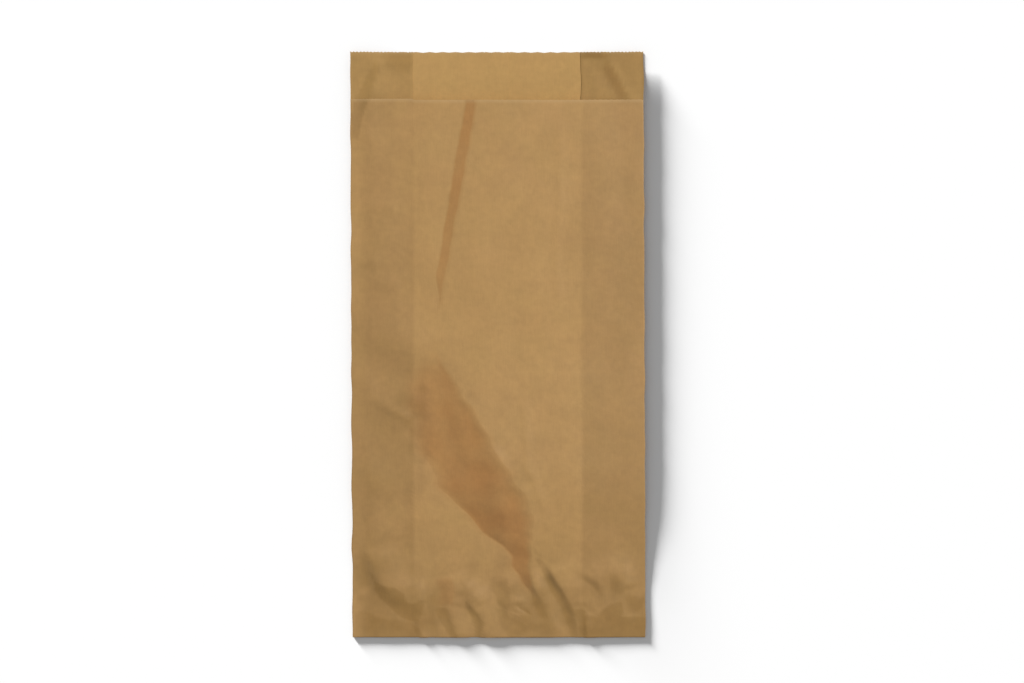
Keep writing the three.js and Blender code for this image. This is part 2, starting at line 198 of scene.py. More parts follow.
bag = {
    "width": 150.0,
    "gussetDepth": 32,
    "lipHeight": 25,  # how much lower the front is cut than the other plies
    "turnUp": 11,  # length of the flat tube that is turned under the back
    "lapWidth": 12,  # where the web's long edges are pasted together
    "lapStep": 1.5,  # width over which one climbs on the other
    "paper": 0.08,  # thickness
    "plyGap": 0.05,  # between pressed plies
    "clearance": 0.02,  # least gap under the front and in the lap
    "toothDepth": 0.5,
    "frontTeeth": 0.4,  # share of that depth on the front's edge
    "springRadius": 0.07,  # inside the long folds
    "gussetRise": 0.13,  # of the gussets' inner folds, where the bag has sprung open
    "edgeGap": 2.9,  # between front and back at the long edges, there
    "crownRise": 4.6,  # of the front's middle over its edges
    "mouthCrown": 0.6,  # share of the crown that is left at the mouth
    "openingRun": 80,  # height over which the bag springs open
    "stackFall": (1, 20),  # where the back comes down from the turned-up plies, past their end
    "flapFall": (1, 9),  # and from the flap
    "columns": {"back": 12, "lowerGusset": 5, "upperGusset": 18, "front": 150},
    "rows": {"turnUp": 5, "low": 60, "body": 104, "lip": 20, "flap": 5},
    "lowZone": 56,  # height of the rows that lie close, over the bottom
    "gussetEase": 5,  # width over which the front comes down beside a gusset
    "mouthRun": (0.5, 4),  # where the gussets' own creases start, above the front's edge
    # How high creases may stand above the plies that are turned under, by share of the turn
    "underLimits": [(0, 20), (0.25, 0.3), (1, 0)],
    "lean": 0.0037,  # slope of the whole bag to the left
    "edgeWave": 0.3,  # of the long edges
    "sheetWave": 0.22,  # of the front
    "foldFacets": 4,
    "turnFacets": 6,
    "turnHalf": 0.6,  # half of the web's length in the bottom turn
    # How much higher the front is cut, by place across, and the height over which this comes in
    "knifeStep": [(-75, 0.7), (-43.8, 0.7), (-42.2, 0.1), (25, 0), (50, 0.2), (75, 0.5)],
    "knifeRun": 12,
    # How dark a place looks, as plies behind it: the show-through of real plies, with painted shade and
    # painted light added as plies. How many more, and between which two places
    "tones": {
        "gussetEdge": (1, -1.3, 1.3),  # across, from a gusset's inner fold
        "closerLow": (0.9, -20, -70),  # by height, over the gussets
        "looserHigh": (-0.6, 20, 80),
        "middleLow": (0.9, -75, -115),  # by height, between the gussets
        "middleBottom": (1.6, -113, -133),
        "litLeftEdge": (1, -65, -73),  # across: painted light along the left edge, against the shade of the crown's left slope
        "leftPlies": -1.4,  # the plies it takes away there, as painted light
        "leftBottom": (-1.0, -113, -133),  # by height
        "paintedLightAtMouth": (-0.9, 9, 0),  # above the front's edge: painted light on the lip, against the shade beside the front's edge
        "mouthFacets": 0.6,  # share of the facets' painted shade below that shows on the gussets in the mouth
        "lap": (1.2, 0, -6),  # below the front's edge, outside
        "turnedUnder": 3.0,
        "patchEdge": (1.35, 0.35),  # in half widths of a patch
        "ragged": 0.25,
        "waver": 0.35,  # mm, of the facets' edges
    },
    # The long crease over the front: the paper right of the ridge stands higher, and falls over a
    # slanting strip to the valley. Points here and below are (across, up) from the bag's middle.
    "longCrease": {
        "ridge": [(-11, 122.9), (-12.3, 114.7), (-14.3, 102.5), (-16.6, 90.2), (-19.4, 73.9),
                  (-22, 61.6), (-24, 49.4), (-25.8, 39.2), (-28.1, 31), (-29.1, 22.8), (-31.7, -0.1),
                  (-29.4, -8.3), (-24.5, -15.5), (-18.7, -26.7), (-13.5, -33.8), (-6.4, -45.9),
                  (-0.5, -56.6), (6.4, -66.5), (10.7, -73.7), (15.1, -80.7), (16.9, -87.8),
                  (16.9, -97.7), (16.6, -107.9), (16.9, -114.5), (18.4, -125.2), (22.5, -132.9),
                  (27.6, -141.6), (35.8, -148.7)],
        "valley": [(-16.1, 122.9), (-17.9, 114.7), (-20.2, 102.5), (-22.5, 90.2), (-24.8, 73.9),
                   (-26.8, 61.6), (-28.9, 49.4), (-30.4, 39.2), (-31.2, 31), (-30.2, 22.8), (-33.2, -0.1),
                   (-39.9, -8.3), (-44, -17), (-44.5, -25.2), (-44, -32.3), (-41.9, -43.5),
                   (-39.4, -54.8), (-33.7, -66), (-27.1, -74.5), (-22, -80.7), (-15.8, -86.7),
                   (-10.1, -92.6), (-4.4, -97.7), (2.2, -102.8), (6.5, -108.2), (9.2, -114.5),
                   (12.8, -123.2), (18.4, -132.9), (24.5, -141.6), (33.2, -148.7)],
        # How far the paper falls from ridge to valley, by height
        "drop": [(125, 1.0), (60, 1.0), (40, 0.7), (28, 0.3), (18, 0), (2, 0), (-9, 0.3), (-16, 1.0),
                 (-32, 2.6), (-48, 3.8), (-76.7, 4.8), (-92, 4.6), (-104, 2.8), (-112, 1.6),
                 (-122, 0.9), (-135, 0.4), (-148, 0.2)],
        # How hollow the strip is towards its valley, by height: 1 is straight
        "hollow": [(125, 1), (0, 1), (-15, 2.2), (-50, 2.0), (-70, 1.35), (-80, 1), (-148, 1)],
        # Where the painted warm shade starts, right of the valley
        "warmShadeFrom": [(-99, 2), (-31.7, -6), (-31.2, -11.4), (-30.7, -20.6), (-29.1, -30.8), (-27.1, -43.5),
                     (-26.1, -56.3), (-25, -69.1), (-24.5, -75.7), (-99, -79)],
        # How strong the strip's painted warm shade is, by height
        "warm": [(125, 0.7), (60, 0.7), (30, 0.4), (18, 0), (-3, 0), (-12, 0.5), (-31, 0.75),
                 (-76.7, 0.85), (-100, 0.85), (-114, 0.75), (-122, 0.6), (-128, 0.1), (-140, 0)],
        # Columns of the front right of the ridge and on the strip, 1 mm apart before they are slid
        "columns": {"right": 62, "strip": 14},
        "warmShadeHalo": (0.8, -5, 6),  # painted warm shade round the valley, and from where to where
        "warmShadeBelow": (1, 0, -16),  # heights between which the shade halo and soft edges come in
        "warmAbove": (1, -80, -60),  # and between which the soft edges end again
        "held": (1, -138, -118),  # heights between which the pasted bottom lets it rise
        "stripLeast": 0.8,  # least width of the strip
    },
    # Smaller creases of the front: each is a bent line that stands up by height, or dips where
    # that is negative. It is drawn downwards or to the right, and its flanks die away over the
    # widths left (or below) and right (or above). Where a warm shade is given, its low side gets
    # painted warm shade.
    "smallCreases": [
        # the pleat beside the long crease's lower end
        {"line": [(23, -109.9), (26.1, -113), (29.8, -120.5), (33.5, -125.7), (36.6, -132), (39.9, -138),
                  (40.9, -150.8)],
         "height": 1.7, "left": 4.4, "right": 18},
        {"line": [(15.3, -113), (17.4, -119.6), (20.7, -125.7), (24.3, -133.6), (26.1, -141.4),
                  (29.6, -150.8)],
         "height": 1.3, "left": 7, "right": 7},
        # scallops that the pasted bottom draws into the front
        {"line": [(-16.4, -127.3), (-12.5, -135.1), (-8.7, -138.7), (-7.5, -142.7), (-8.2, -151.8)],
         "height": 1.5, "left": 3.4, "right": 14},
        {"line": [(-18.9, -123.2), (-14.3, -128.8), (-10.2, -134.4)],
         "height": 0.9, "left": 8, "right": 10},
        {"line": [(-26.6, -131.4), (-23, -139.5), (-20.4, -151.8)], "height": 1.4, "left": 5, "right": 11},
        {"line": [(-25, -117.1), (-22, -125.2), (-23, -134.4)],
         "height": 0.9, "left": 9, "right": 12, "warm": 0.3},
        {"line": [(-42.2, -138.5), (-39.4, -151.8)], "height": 0.8, "left": 2.2, "right": 9},
        {"line": [(2, -117.1), (7.2, -125.2), (8.7, -134.4)], "height": 0.9, "left": 8, "right": 11},
        {"line": [(1, -136.5), (7.7, -133.9), (15.3, -138.5), (17.4, -146.7)],
         "height": 1.3, "left": 9, "right": 9},
        {"line": [(8.2, -132.9), (15.8, -137.5)], "height": -0.7, "left": 1.9, "right": 1.9},
        {"line": [(-34.8, -130.3), (-31.7, -138.5), (-30.7, -151.8)], "height": 0.5, "left": 4, "right": 8},
        # the dented lower corners
        {"line": [(-65.4, -102.3), (-62.9, -113), (-58.8, -122.2), (-54.7, -126.8), (-48.1, -130.3),
                  (-41.9, -132.4), (-36.3, -131.4)],
         "height": 1.9, "left": 9, "right": 20},
        {"line": [(-69.5, -136.5), (-64.4, -138.5), (-54.2, -141.6), (-45, -143.6)],
         "height": 0.4, "left": 6, "right": 12},
        {"line": [(47, -124.2), (52.1, -118.6), (57.8, -116.6), (62.9, -119.6), (66.5, -126.3)],
         "height": 1.2, "left": 10, "right": 14},
        {"line": [(45, -138.5), (54.2, -134.4), (64.4, -139), (76.7, -139.5)],
         "height": 0.9, "left": 9, "right": 12},
        {"line": [(44.4, -136), (44.6, -151.8)], "height": 0.7, "left": 1.4, "right": 6},
        {"line": [(38.9, -131.9), (46, -132.6)], "height": 0.4, "left": 1.6, "right": 3.5},
        # crests inside the long crease's strip
        {"line": [(-7.2, -50.7), (-2, -59.4), (-1, -69.1), (-0.5, -77.8), (2, -85.9), (10.2, -90.5)],
         "height": 0.9, "left": 11, "right": 9},
        {"line": [(-23.5, -29.2), (-19.4, -40.5), (-16.4, -52.7), (-14.3, -64)],
         "height": 0.3, "left": 5, "right": 5},
        {"line": [(-3.6, -97.2), (3.6, -98.2), (11.2, -100.2), (16.4, -103.8)],
         "height": 0.25, "left": 5, "right": 8},
        # the soft falls to the left of the long crease
        {"line": [(-98, 6.5), (-72.6, 5.5), (-60.3, 3.9), (-52.1, 2.4), (-42.9, -1.1), (-34.8, -7.8)],
         "height": 1.0, "left": 16, "right": 19},
        {"line": [(-88, -15), (-68.5, -23.6), (-61.3, -28.2), (-54.2, -32.3), (-48.1, -36.4),
                  (-41.9, -40.5)],
         "height": 0.9, "left": 14, "right": 17},
        {"line": [(-64.4, -28.2), (-57.3, -31.8), (-48.1, -36.9), (-42.9, -38.9)],
         "height": 0.3, "left": 2.5, "right": 3},
        {"line": [(-75.7, -64), (-63.4, -69.1), (-54.2, -75.2), (-49.1, -82.3)],
         "height": 0.6, "left": 9, "right": 16},
        {"line": [(-80.8, 42.2), (-72.6, 42.8), (-64.4, 41.7), (-60.3, 40.2)],
         "height": 0.4, "left": 3, "right": 8},
        # faint lines of the middle
        {"line": [(12.8, -24.1), (13.8, -43.5), (14.3, -62.9), (18.4, -70.1), (22, -81.8), (24, -90)],
         "height": 0.2, "left": 2.2, "right": 5},
        {"line": [(31.7, 125), (32.2, 84.1), (30.2, 43.3), (31.2, 7.5)],
         "height": 0.15, "left": 3, "right": 4},
        {"line": [(-75.7, 69.8), (-63.4, 70.8), (-49.1, 68.8)], "height": 0.25, "left": 4, "right": 7},
        {"line": [(-74.6, 30.5), (-62.4, 31.5), (-48.1, 28.5)], "height": 0.25, "left": 3, "right": 7},
        # the bent upper left corner
        {"line": [(-64.7, 129), (-65.5, 126), (-67.6, 120.6), (-69.3, 115.8), (-70.3, 110.7),
                  (-71.4, 103.5)],
         "height": 0.5, "left": 4.5, "right": 12},
    ],
    # Creases of the gusset plies that show in the mouth, above the front's cut edge
    "mouthCreases": [
        {"line": [(-61.3, 147.4), (-62.1, 141.3), (-62.9, 134.7), (-64.4, 129), (-65.4, 125.5)],
         "height": 0.5, "left": 5.5, "right": 9},
        {"line": [(57.3, 145.4), (58.9, 141.3), (62.9, 134.1), (67.2, 126)],
         "height": 0.5, "left": 6, "right": 4, "warm": 0.2},
        {"line": [(43.5, 150.2), (49.6, 150.2), (56.2, 149.7)],
         "height": 0.9, "left": 3.4, "right": 8, "warm": 0.2},
    ],
    # Painted shade of the creases, and painted light where plies are negative: facets between
    # creases, each with its plies and the softness of its edge
    "facets": [
        # the dark fold and the pressed corner at the lower left
        (2.2, 0.6, [(-64.6, -117.1), (-62.4, -121.2), (-58.8, -123.7), (-52.7, -124.7),
                    (-48.1, -127.8), (-46.5, -132.1), (-44, -132.9), (-41.4, -130.9), (-36.8, -131.9),
                    (-39.4, -137), (-40.9, -140.3), (-46, -141.4), (-50.1, -139.3), (-54.3, -135.4),
                    (-59.5, -130.6), (-62.9, -126.3)]),
        (1.6, 1, [(-72.1, -136.5), (-66.5, -137), (-63.4, -139), (-57.3, -140.6), (-46, -141.8),
                  (-42.4, -144.1), (-40.9, -151.3), (-73.6, -151.3), (-73.1, -141.6)]),
        (1.5, 0.5, [(-42.7, -141.6), (-40.6, -145.7), (-38.3, -149), (-41.9, -150.8)]),
        # the facets between the scallops
        (0.9, 0.8, [(-33.7, -125.2), (-31.7, -121.7), (-29.1, -120.9), (-26.6, -122.2),
                    (-25.6, -128.3), (-24, -131.4), (-25.6, -134.2), (-31.7, -134.2), (-34, -131.9)]),
        (1.8, 0.6, [(-31.4, -134.9), (-26.6, -134.9), (-24.5, -141.3), (-22.2, -145.7),
                    (-19.9, -150.8), (-23.5, -150.8), (-27.1, -144.9), (-30.7, -139)]),
        (0.8, 0.9, [(-21.5, -123.2), (-18.9, -120.1), (-14.3, -118.9), (-11.2, -119.6),
                    (-10.7, -125.2), (-13.3, -128.8), (-18.9, -128.3), (-22, -126.8)]),
        (1, 0.8, [(-17.9, -128.8), (-14.3, -127.5), (-10.2, -129.3), (-9.7, -132.4), (-13.8, -132.1)]),
        (1.9, 0.5, [(-16.9, -131.1), (-13.3, -134.4), (-10, -138), (-7.7, -143.1), (-8.2, -148),
                    (-11, -150.8), (-12.3, -142.6), (-14.3, -137.5)]),
        (1.4, 0.7, [(-4.6, -120.1), (-0.5, -118.6), (4.6, -118.9), (6.1, -125.2), (6.6, -133.4),
                    (3.6, -136), (0, -132.4), (-1, -128.3), (-4.1, -126.3)]),
        (1.4, 0.8, [(-0.5, -134.9), (3.6, -136.5), (6.1, -139.5), (13.3, -143.1), (14.8, -147.2),
                    (9.2, -150.8), (4.6, -148.7), (1, -143.6)]),
        (2.6, 0.4, [(9.2, -133.5), (10.7, -133.9), (16.4, -137.2), (16.6, -138.3), (13.8, -137.2)]),
        (-1.6, 0.5, [(6.1, -134.9), (8.2, -136.7), (13.3, -138.3), (10.7, -139), (7.2, -137.7)]),
        # the pleat and what lies beside it
        (1.4, 0.8, [(16.9, -124.2), (19.9, -125.7), (23, -131.4), (25, -136.5), (26.1, -140.6),
                    (21.5, -139.5), (17.9, -133.4)]),
        (1.6, 0.6, [(18.4, -109.4), (22, -109.2), (24.5, -112.5), (29.1, -120.1), (33.2, -126),
                    (37.6, -132.9), (39.4, -136.5), (41.2, -150.8), (38.3, -150.8), (35, -141.6),
                    (32.5, -136.2), (29.9, -130.3), (26.6, -126.3), (25.6, -122.7), (21.5, -114)]),
        # the pressed corner at the lower right
        (2.6, 0.8, [(39.4, -136), (43.5, -135.2), (47, -138.5), (50.6, -139.5), (53.7, -136),
                    (58.3, -132.4), (63.4, -131.9), (64.4, -136.5), (62.9, -139.3), (72.6, -139.5),
                    (77.7, -140), (77.7, -151.3), (41.9, -151.3), (40.9, -141.6)]),
        (0.6, 1.2, [(47, -124.2), (52.1, -120.6), (56.2, -117.6), (60.8, -117.3), (62.9, -121.2),
                    (64.9, -128.3), (62.4, -132.4), (57.8, -130.9), (54.2, -133.4), (50.6, -134.4),
                    (48.6, -129.3)]),
        (0.7, 1, [(56.7, -117.1), (60.8, -117.1), (62.9, -122.2), (61.3, -126.3), (57.8, -125.2)]),
        (2, 0.4, [(44, -136.5), (45.2, -137), (44.7, -141.6), (45.8, -150.8), (44.5, -150.8),
                  (43.7, -141.6)]),
        # painted shade on the core of the long crease's band, and on the half tone right of it
        (0.3, 2.4, [(-31.2, -11.9), (-28.1, -10.9), (-23.5, -20.6), (-19.4, -30.8), (-14.3, -41),
                    (-9.2, -51.2), (-3.1, -61.4), (1, -74.2), (5.1, -81.8), (10.7, -89.5),
                    (14.3, -93.6), (11.2, -95.6), (3.6, -96.1), (-7.2, -94.6), (-14.3, -82.9),
                    (-24.5, -76.2), (-26.1, -64), (-27.6, -48.6), (-29.6, -30.8)]),
        (0.9, 2.5, [(-29.1, -6.8), (-20.4, -10.9), (-12.3, -22.1), (-5.1, -32.3), (2.6, -43.5),
                    (9.7, -55.3), (15.8, -68), (19.4, -79.3), (18.4, -85.4), (10.2, -79.3),
                    (3.6, -69.1), (-3.1, -57.8), (-10.2, -46.6), (-16.9, -34.3), (-23.5, -22.1)]),
        # the bent upper left corner, and the strip under the top edge at the right
        (2.6, 0.6, [(-62.4, 146.4), (-65.5, 139.4), (-68, 134.9), (-71.7, 127.8), (-74.1, 121.9),
                    (-75.1, 113.7), (-74.6, 106.1), (-71.4, 105.2), (-70.3, 112), (-69.3, 115.8),
                    (-67.6, 120.6), (-65.5, 126), (-64.5, 129.1), (-62.9, 134.7), (-60.8, 141.3)]),
        (2.4, 0.7, [(43.7, 150.5), (55.2, 150.5), (58.3, 148.4), (54.2, 146.7), (43.7, 146.9)]),
        (2.8, 3, [(-57.8, 150.5), (-43.5, 150.5), (-43.5, 141.3), (-50.1, 139.3), (-57.3, 142.3)]),
        (1.8, 0.6, [(53.7, 146.4), (56.2, 146.4), (59.3, 141.3), (67.5, 125), (62.4, 125), (55.2, 136.2)]),
        (-2, 3, [(48.1, 140.3), (55.2, 139.3), (63.4, 126), (52.1, 126)]),
    ],
    # Softer patches of painted shade, and painted light where plies are negative: across, up, half width,
    # half height and plies
    "shadePatches": [(-49.6, -93.6, 5.6, 2.5, 0.3), (-54.2, -28.2, 10.2, 11.2, 0.3),
                (-38.9, -44.6, 6.6, 26.5, 2.4), (-36.8, -72.1, 8.2, 9.2, 0.8), (-39.9, -10.9, 6.1, 7.1, 1),
                (10.2, -102.3, 8.2, 6.1, -1.3), (-52.1, -87.5, 10.2, 9.2, -0.9),
                (42.9, 125, 5.1, 5.1, -0.6), (41.9, 58.6, 11.2, 30.6, 0.6), (-48.1, 79, 6.1, 40.8, -0.8),
                (21.5, -38.4, 30.6, 30.6, 0.5), (-44, -30.3, 9.2, 10.2, 1.4),
                (42.9, -124.2, 7.1, 15.3, 0.5), (24, -59, 20, 15, 0.6), (24.5, -124.2, 4.6, 7.7, 1.7),
                (-70.5, -117.6, 5.1, 12.2, 1.7), (74.1, -137.5, 4.1, 10.2, 1.3),
                (-55.2, -86.9, 12.2, 14.3, -1), (-38.9, -136.5, 12.2, 13.3, 1.5),
                (22, -139.5, 14.3, 12.2, 1.9), (-63.4, -136.5, 12.2, 13.3, 1.2),
                (31.7, -79.3, 20.4, 20.4, 0.2), (44.5, -95.1, 22.4, 8.2, -0.9),
                (10.2, -125.2, 3.6, 4.6, 1.8), (2, -110.9, 4.6, 6.1, 1.2), (-14.3, -115, 4.6, 4.6, 1.3),
                (70, -132.4, 4.6, 4.6, 1.8), (34.8, -141.6, 3.1, 5.1, 1), (-29.6, -78.3, 4.6, 7.7, 1),
                (-40.9, -117.1, 4.6, 5.6, 1.4), (-59.3, -111.4, 7.7, 5.1, 0.9),
                (-48.1, 118.8, 5.1, 13.8, -1.2), (-57.3, 106.6, 7.7, 6.1, -0.8),
                (25.6, -115, 4.1, 4.1, -0.8), (-29.6, -9.8, 5.1, 4.6, 1), (-13.3, -26.2, 3.1, 4.1, 1),
                (18.4, -116, 3.1, 3.6, 0.9), (-73.1, 66.2, 6.1, 57.1, -0.5), (66.5, 48.4, 11.2, 51.0, 0.7),
                (52.1, -115, 17.3, 6.1, -1), (18.4, -125.2, 3.6, 4.6, -1.5), (6.1, -100.2, 6.1, 3.6, -1.3),
                (68.5, -132.4, 4.6, 4.6, 1.2), (-38.9, -141.6, 6.1, 5.1, 1.1),
                (-47, 19.8, 5.1, 10.2, -0.8)],
}


def foldLines(shape, width):
    # Places across the web of its six long folds
    half = width / 2
    inner = half + shape["gussetDepth"]
    outer = half + 2 * shape["gussetDepth"]
    return [-outer, -inner, -half, half, inner, outer]


def flatWeb(shape, width, height):
    # The blank: a grid whose rows and columns are slid to the folds and bevelled there, and whose
    # two long ends are drawn out
    columns, rows = shape["columns"], shape["rows"]
    counts = [columns["back"], columns["lowerGusset"], columns["upperGusset"], columns["front"],
              columns["upperGusset"], columns["lowerGusset"], columns["back"]]
    rowCounts = np.cumsum([0, rows["turnUp"], rows["low"], rows["body"]])
    folds = foldLines(shape, width)
    webEdge = folds[-1] + width / 2 + shape["lapWidth"] / 2
    frontTop = height - shape["lipHeight"] - shape["turnCentre"] + shape["turnHalf"]
    turnEnd = -shape["turnUp"] - shape["turnHalf"]
    deselectAll()
    bpy.ops.mesh.primitive_grid_add(x_subdivisions=sum(counts), y_subdivisions=int(rowCounts[-1]), size=1)
    piece = bpy.context.object
    mesh = piece.data
    points = meshPoints(mesh)
    column = (points[:, 0] + 0.5) * sum(counts)
    row = (points[:, 1] + 0.5) * rowCounts[-1]
    points[:, 0] = np.interp(column, np.cumsum([0] + counts), [-webEdge] + folds + [webEdge])
    points[:, 1] = np.interp(row, rowCounts, [turnEnd, 0, shape["lowZone"], frontTop])
    setMeshPoints(mesh, points)

    foldHalf = math.pi * shape["springRadius"] / 2
    bevels = [(0, fold, foldHalf, shape["foldFacets"]) for fold in folds]
    bevels.append((1, 0, shape["turnHalf"], shape["turnFacets"]))
    for axis, place, half, facets in bevels:
        selectEdges(mesh, lambda middle, along: (abs(middle[:, axis] - place) < onLine)
                    & (along[:, axis] < onLine))
        bpy.ops.object.mode_set(mode="EDIT")
        bpy.ops.mesh.select_mode(type="EDGE")
        bpy.ops.mesh.bevel(offset=half, segments=facets, affect="EDGES")
        bpy.ops.object.mode_set(mode="OBJECT")

    # Past the steps, only the front ply goes on below and only the others go on above
    half = width / 2
    draws = [
        (lambda middle, along: (middle[:, 1] > frontTop - onLine) & (along[:, 1] < onLine)
         & (abs(middle[:, 0]) > half), rows["lip"], shape["lipHeight"]),
        (lambda middle, along: (middle[:, 1] < turnEnd + onLine) & (along[:, 1] < onLine)
         & (abs(middle[:, 0]) < half), rows["flap"], -shape["lipHeight"]),
    ]
    for test, steps, distance in draws:
        selectEdges(mesh, test)
        bpy.ops.object.mode_set(mode="EDIT")
        for step in range(steps):
            bpy.ops.mesh.extrude_region_move(
                TRANSFORM_OT_translate={"value": (0, distance / steps, 0)})
        bpy.ops.object.mode_set(mode="OBJECT")
    return piece, frontTop


def cutTeeth(shape, mesh, width, frontTop):
    # The saw teeth of the knife, along both steps of the mouth: every second point is a valley
    top = frontTop + shape["lipHeight"]
    selectEdges(mesh, lambda middle, along: (middle[:, 1] > top - onLine) & (along[:, 1] < onLine))
    before = len(mesh.vertices)
    bpy.ops.object.mode_set(mode="EDIT")
    bpy.ops.mesh.subdivide(number_cuts=1)
    bpy.ops.object.mode_set(mode="OBJECT")
    points = meshPoints(mesh)
    uneven = np.random.default_rng(4).uniform(0.5, 1, len(points))  # share of a valley's full depth
    isBackValley = (np.arange(len(points)) >= before) & (points[:, 1] > top - onLine)
    besideFold = width / 2 - 0.7
    onFront = (abs(points[:, 1] - frontTop) < onLine) & (abs(points[:, 0]) < besideFold)
    isFrontValley = onFront & (np.round(points[:, 0]).astype(int) % 2 == 0)
    valleys = isBackValley + shape["frontTeeth"] * isFrontValley
    points[:, 1] -= shape["toothDepth"] * uneven * valleys
    setMeshPoints(mesh, points)


def creaseLines(y):
    # Where the long crease's ridge and valley cross each height, more uneven in the lower half
    crease = bag["longCrease"]
    uneven = 0.35 + comesIn((0.65, 10, -30), y)
    ridgeX = acrossAt(crease["ridge"], y) + uneven * slowWaves(3 * y, 1.7 * y, 21)
    valleyX = acrossAt(crease["valley"], y) + 1.3 * uneven * slowWaves(2.4 * y, 1.3 * y, 22)
    return ridgeX, np.minimum(valleyX, ridgeX - crease["stripLeast"])


def slideToCrease(u, y, width):
    # Slides the front's columns so that one runs along the ridge and one along the valley
    counts = bag["longCrease"]["columns"]
    still = width / 2 - 1.5  # the columns beside the folds stay
    ridgeX, valleyX = creaseLines(y)
    start = width / 2 - counts["right"]  # where the two columns stand before they are slid
    end = start - counts["strip"]
    x = -u
    rightShare = (x - start) / (still - start)
    stripShare = (x - end) / (start - end)
    leftShare = (x + still) / (end + still)
    slid = np.where(x > start, ridgeX + rightShare * (still - ridgeX),
                    np.where(x > end, valleyX + stripShare * (ridgeX - valleyX),
                             leftShare * (valleyX + still) - still))
    return -np.where(abs(x) < still, slid, x)


def frontRelief(x, y, edge, opened):
    # Height that creases and puckers add to the front's smooth crown
    crease = bag["longCrease"]
    ridgeX, valleyX = creaseLines(y)
    fall = valueAt(crease["drop"], y) * comesIn(crease["held"], y)
    onStrip = np.clip((x - valleyX) / (ridgeX - valleyX), 0, 1) ** valueAt(crease["hollow"], y)
    # Away from the strip both levels fade towards the bag's edges
    ridgeFade = (1 - np.clip((x - ridgeX) / (edge - ridgeX), 0, 1)) ** 1.5
    valleyFade = (1 - np.clip((valleyX - x) / (valleyX + edge), 0, 1)) ** 1.5
    height = fall * (onStrip * ridgeFade - (1 - onStrip) * valleyFade) / 2
    height = height + creaseRelief(bag["smallCreases"], x, y)[0]
    height = height + bag["sheetWave"] * slowWaves(x, y, 5)
    # The folds and the pasted bottom hold the paper down
    offFolds = np.clip(4 * (1 - (x / edge) ** 2), 0, 1)
    offPaste = np.clip(6 * opened + 0.5, 0, 1)
    return height * offFolds * offPaste


def creaseRelief(creases, x, y):
    # What bent lines add to the height, and how much painted warm shade lies on their low side
    height, warmShadeShare = np.zeros(x.shape), np.zeros(x.shape)
    for crease in creases:
        away, share = alongLine(crease["line"], x, y)
        flank = np.where(away < 0, crease["left"], crease["right"])
        # A crease fades over the last fifth of its length, and past its ends it is still faint
        ends = np.maximum(smoothStep(0, 0.22, share) * smoothStep(1, 0.82, share), 0.12)
        height = height + crease["height"] * bell(away, flank / 1.6) * ends
        lowSide = smoothStep(0.3, -0.5, away) * smoothStep(-crease["left"], -crease["left"] * 0.6, away)
        warmShadeShare = np.maximum(warmShadeShare, crease.get("warm", 0) * lowSide * ends)
    return height, warmShadeShare


def warmShadeStrip(x, y):
    # Painted warm shade on the long crease's strip: sharp at the valley, softer at the ridge
    crease = bag["longCrease"]
    ridgeX, valleyX = creaseLines(y)
    left = np.maximum(valleyX, acrossAt(crease["warmShadeFrom"], y))
    across = (x - left) / np.maximum(ridgeX - left, 1)
    below = comesIn(crease["warmShadeBelow"], y)
    softer = below * comesIn(crease["warmAbove"], y)
    warmShadeHalo = comesIn(crease["warmShadeHalo"], x - valleyX) * below
    inStrip = np.maximum(smoothStep(-0.8, 0.8 + 2 * softer, x - left), warmShadeHalo)
    inStrip = inStrip * smoothStep(1.08 + 0.17 * softer, 0.76 - 0.1 * softer, across)
    inStrip = inStrip * np.clip(0.86 + 0.22 * slowWaves(2.2 * x, 1.4 * y, 23), 0, 1)
    return np.maximum(inStrip * valueAt(crease["warm"], y), creaseRelief(bag["smallCreases"], x, y)[1])


def pliesAndShadeUnder(x, y, u, half, shape):
    # How many plies lie behind the face that shows, since thin paper looks darker over more of them, with
    # painted shade and painted light added as plies
    tones = shape["tones"]
    overGusset = comesIn(tones["gussetEdge"], abs(x) - (half - shape["gussetDepth"]))
    gussets = 2 + comesIn(tones["closerLow"], y) + comesIn(tones["looserHigh"], y)
    middle = comesIn(tones["middleLow"], y) + comesIn(tones["middleBottom"], y)
    # Painted light along the left edge, against the shade of the crown's left slope
    litLeftEdge = comesIn(tones["litLeftEdge"], x) * (tones["leftPlies"] + comesIn(tones["leftBottom"], y))
    front = 2 + overGusset * gussets + (1 - overGusset) * middle + litLeftEdge
    ragged = tones["ragged"] * slowWaves(4 * x, 4 * y, 9)
    # Painted shade in soft patches, and painted light where their plies are negative
    for across, up, halfWide, halfHigh, plyShade in shape["shadePatches"]:
        away = np.hypot((x - across) / halfWide, (y - up) / halfHigh) + ragged
        front = front + comesIn((plyShade, *tones["patchEdge"]), away)
    # Painted shade of the creases' facets, and painted light where their plies are negative
    bentX = x + tones["waver"] * slowWaves(6 * x, 5 * y, 31)
    bentY = y + tones["waver"] * slowWaves(6 * x, 5 * y, 32)
    facets = sum(plyShade * withinOutline(outline, bentX, bentY, soft)
                 for plyShade, soft, outline in shape["facets"])
    fromFront = y - shape["frontEdge"]
    # Painted light on the lip above the front's edge
    mouthLightLift = comesIn(tones["paintedLightAtMouth"], fromFront)
    lap = comesIn(tones["lap"], fromFront) * (abs(x) < shape["lapWidth"] / 2 + 0.5)
    isBack = abs(u) > half + 2 * shape["gussetDepth"]
    # In the mouth, back and gussets look as dark as two plies and five, with painted light above the
    # front's edge and the facets' painted shade
    others = np.where(isBack, 2 + mouthLightLift + lap, 5 + mouthLightLift + tones["mouthFacets"] * facets)
    return np.where(abs(u) < half, front + facets, others)


